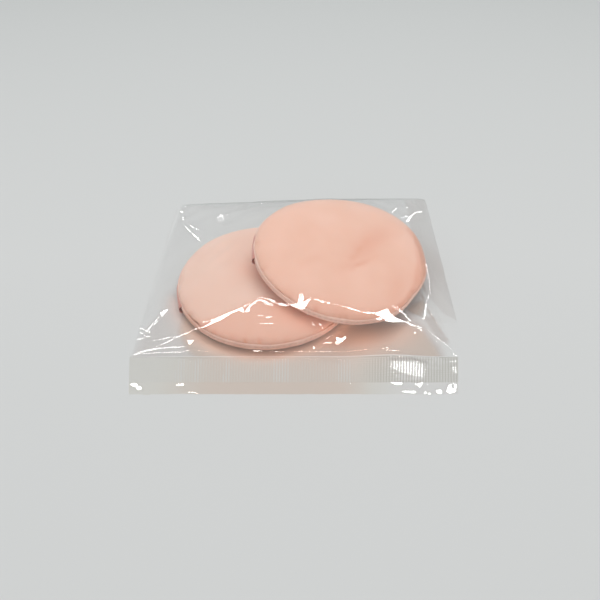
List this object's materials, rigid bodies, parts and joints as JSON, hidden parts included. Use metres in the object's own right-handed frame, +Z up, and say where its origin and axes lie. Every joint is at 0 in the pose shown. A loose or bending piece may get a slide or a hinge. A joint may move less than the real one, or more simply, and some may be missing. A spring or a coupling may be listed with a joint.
{
  "type": "powder puff",
  "caption": "Round velour powder puffs with bound edges and a satin finger ribbon, one leaning on the other, heat-sealed in a clear film pouch.",
  "frame": {"origin": "middle of the pouch's box, on the surface that it lies on", "axes": "+Z up, +Y from the sealed mouth towards the back fold, +X to the right seen from the mouth"},
  "size_m": [0.134, 0.1286, 0.0253],
  "materials": {
    "velour_face": "short peach velour pile, matt with a soft sheen at the edges",
    "back_cloth": "plain peach knitted backing, matt",
    "sponge": "cream open-cell sponge, matt",
    "edge_binding": "rolled and stitched edge cloth, beige pink",
    "seam_thread": "fine polyester sewing thread",
    "satin_ribbon": "mauve-pink satin, soft gloss along the weft",
    "clear_film": "clear crisp film, high gloss, fine creases",
    "sealed_film": "clear film sealed by heat, fine square mesh embossed"
  },
  "bodies": {
    "root": {"lower_face_cover": "velour_face", "lower_foam_core": "sponge", "lower_back_cover": "back_cloth", "lower_edge_binding": "edge_binding", "lower_seam_thread": "seam_thread", "lower_finger_ribbon": "satin_ribbon", "upper_face_cover": "velour_face", "upper_foam_core": "sponge", "upper_back_cover": "back_cloth", "upper_edge_binding": "edge_binding", "upper_seam_thread": "seam_thread", "upper_finger_ribbon": "satin_ribbon", "pouch_top_film": "clear_film", "pouch_bottom_film": "clear_film", "pouch_left_weld": "clear_film", "pouch_right_weld": "clear_film", "pouch_back_fold": "clear_film", "pouch_mouth_crimp": "sealed_film", "pouch_mouth_lip": "clear_film"}
  },
  "joints": []
}
